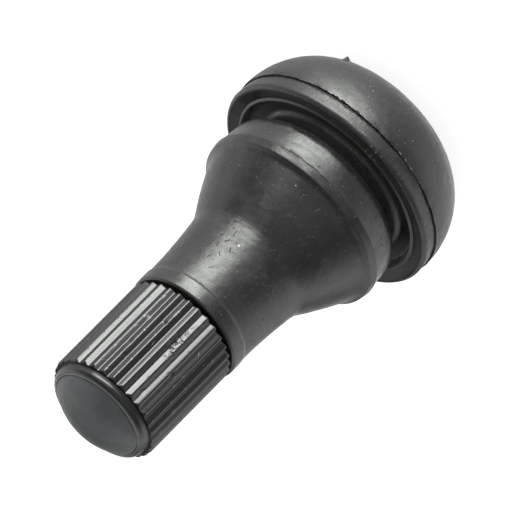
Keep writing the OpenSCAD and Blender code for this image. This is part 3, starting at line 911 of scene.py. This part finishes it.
def make_spring(material):
    """The core's spring: round wire on a helix, with its ends ground flat."""
    low, high = (corner[2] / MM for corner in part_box("core_spring"))
    rings = SPRING_TURNS * WIRE_STEPS + 1
    along = np.linspace(0, 1, rings)[:, None]
    angle = TURN * SPRING_TURNS * along
    round_wire = np.linspace(0, TURN, WIRE_SIDES, endpoint=False)[None, :]
    r = COIL_R + WIRE_R * np.cos(round_wire)
    z = low + (high - low) * along + WIRE_R * np.sin(round_wire)
    points = np.stack([r * np.cos(angle), r * np.sin(angle), np.clip(z, low, high)], -1)
    faces = grid_faces(rings, WIRE_SIDES, closed=False)
    faces.append(list(range(WIRE_SIDES)))
    faces.append(list(range((rings - 1) * WIRE_SIDES, rings * WIRE_SIDES)))
    piece = smooth_object("coil_spring", points.reshape(-1, 3), faces, sharp=50)
    piece.data.materials.append(material)
    return piece


def dress(node, material, bevel):
    """Gives a CAD node its material, and a bevel of that width on its sharp edges."""
    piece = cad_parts[node]
    piece.data.materials.clear()
    piece.data.materials.append(material)
    edge = piece.modifiers.new("edge", "BEVEL")
    edge.width = bevel * MM
    edge.segments = BEVEL_STEPS
    edge.limit_method = "ANGLE"
    edge.angle_limit = BEVEL_ANGLE


def make_floor():
    """A white floor that catches the object's shadow and doesn't stand in the lamps' way."""
    half = FLOOR_HALF * MM
    corners = [(-half, -half, 0), (half, -half, 0), (half, half, 0), (-half, half, 0)]
    mesh = bpy.data.meshes.new("floor")
    mesh.from_pydata(corners, [], [(0, 1, 2, 3)])
    floor = bpy.data.objects.new("floor", mesh)
    bpy.context.scene.collection.objects.link(floor)
    floor.visible_shadow = False
    floor.visible_glossy = False
    floor.visible_diffuse = False
    material = bpy.data.materials.new("floor_white")
    material.use_nodes = True
    tree = material.node_tree
    shader = tree.nodes["Principled BSDF"]
    shader.inputs["Base Color"].default_value = grey(FLOOR_GREY)
    shader.inputs["Roughness"].default_value = FLOOR_ROUGH
    shader.inputs["Specular IOR Level"].default_value = FLOOR_GLOSS
    shader.inputs["Emission Color"].default_value = (1, 1, 1, 1)
    path = tree.nodes.new("ShaderNodeLightPath")
    seen = path.outputs["Is Camera Ray"]
    for name in ("Is Glossy Ray", "Is Transmission Ray"):
        either = tree.nodes.new("ShaderNodeMath")
        either.operation = "MAXIMUM"
        tree.links.new(seen, either.inputs[0])
        tree.links.new(path.outputs[name], either.inputs[1])
        seen = either.outputs[0]
    glow = tree.nodes.new("ShaderNodeMath")
    glow.operation = "MULTIPLY"
    glow.inputs[1].default_value = FLOOR_GLOW
    tree.links.new(seen, glow.inputs[0])
    tree.links.new(glow.outputs[0], shader.inputs["Emission Strength"])
    mesh.materials.append(material)


def make_world():
    """Soft light from all sides, less its shades and with its glows."""
    world = bpy.data.worlds.new("studio")
    bpy.context.scene.world = world
    world.use_nodes = True
    tree = world.node_tree
    background = tree.nodes["Background"]
    place = tree.nodes.new("ShaderNodeTexCoord")
    level = WORLD_LEVEL
    for direction, start, end, loss in WORLD_SHADES:
        dot = tree.nodes.new("ShaderNodeVectorMath")
        dot.operation = "DOT_PRODUCT"
        dot.inputs[1].default_value = Vector(direction).normalized()
        tree.links.new(place.outputs["Generated"], dot.inputs[0])
        shade = tree.nodes.new("ShaderNodeMapRange")
        shade.interpolation_type = "SMOOTHSTEP"
        for socket, value in zip(shade.inputs[1:5], (start, end, 0.0, loss)):
            socket.default_value = value
        tree.links.new(dot.outputs["Value"], shade.inputs[0])
        less = tree.nodes.new("ShaderNodeMath")
        less.operation = "SUBTRACT"
        if isinstance(level, float):
            less.inputs[0].default_value = level
        else:
            tree.links.new(level, less.inputs[0])
        tree.links.new(shade.outputs[0], less.inputs[1])
        level = less.outputs[0]
    tree.links.new(level, background.inputs["Strength"])
    background.inputs["Color"].default_value = (*LIGHT_TINT, 1)


def make_lamp(name, distance, width, height, radiance):
    """A flat lamp in the key's direction, turned to the object."""
    light = bpy.data.lights.new(name, "AREA")
    light.shape = "RECTANGLE"
    light.size = width * MM
    light.size_y = height * MM
    light.color = LIGHT_TINT
    light.energy = radiance * math.pi * width * MM * height * MM
    lamp = bpy.data.objects.new(name, light)
    bpy.context.scene.collection.objects.link(lamp)
    away = Vector(KEY_DIRECTION).normalized()
    lamp.location = Vector((0, 0, LAMP_AIM_Z * MM)) + away * distance * MM
    lamp.rotation_mode = "QUATERNION"
    lamp.rotation_quaternion = (-away).to_track_quat("-Z", "Y")


def make_camera():
    """The camera of the photo."""
    forward = Vector((0, math.cos(VIEW_TILT), -math.sin(VIEW_TILT)))
    level_right = Vector((1, 0, 0))
    level_up = Vector((0, math.sin(VIEW_TILT), math.cos(VIEW_TILT)))
    right = level_right * math.cos(VIEW_ROLL) + level_up * math.sin(VIEW_ROLL)
    up = level_up * math.cos(VIEW_ROLL) - level_right * math.sin(VIEW_ROLL)
    data = bpy.data.cameras.new("camera")
    data.sensor_width = SENSOR
    data.lens = SENSOR * PIXELS_PER_MM * VIEW_DISTANCE / IMAGE_SIZE
    camera = bpy.data.objects.new("camera", data)
    bpy.context.scene.collection.objects.link(camera)
    place = AIM_POINT - right * AIM_RIGHT + up * AIM_DOWN - forward * VIEW_DISTANCE
    turn = Matrix((right, up, -forward)).transposed()
    camera.matrix_world = Matrix.Translation(place * MM) @ turn.to_4x4()
    bpy.context.scene.camera = camera


rubber = make_rubber()
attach(rubber, "stem")
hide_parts("rubber_body")

stem = make_stem()
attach(stem, "stem")
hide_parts("valve_stem")

cap = make_cap()
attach(cap, "screw_cap")
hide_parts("cap")

core_brass = metal("core_brass", bright=(0.62, 0.46, 0.20, 1), dark=(0.42, 0.30, 0.13, 1), scale=4,
                   stretch=(1, 1, 7), smooth=0.22, coarse=0.38)
steel = metal("drawn_steel", bright=(0.58, 0.58, 0.60, 1), dark=(0.42, 0.42, 0.43, 1), scale=6,
              stretch=(2, 2, 0.3), smooth=0.22, coarse=0.36)
seal = soft_ring("seal_rubber", light=grey(0.022), dark=grey(0.040))
gasket = soft_ring("gasket_rubber", light=(0.33, 0.045, 0.03, 1), dark=(0.22, 0.03, 0.02, 1))
dress("core_plug", core_brass, bevel=0.06)
dress("core_barrel", core_brass, bevel=0.05)
dress("pin_cup", core_brass, bevel=0.04)
dress("core_pin", steel, bevel=0.04)
dress("barrel_gasket", gasket, bevel=0.05)
dress("cup_seal", seal, bevel=0.05)
dress("cap_seal", seal, bevel=0.06)

spring = make_spring(steel)
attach(spring, "stem")
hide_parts("core_spring")
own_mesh(spring)

make_floor()
make_world()
for lamp_name, setting in LAMPS.items():
    make_lamp(lamp_name, *setting)
make_camera()
bpy.context.scene.view_settings.view_transform = "Standard"
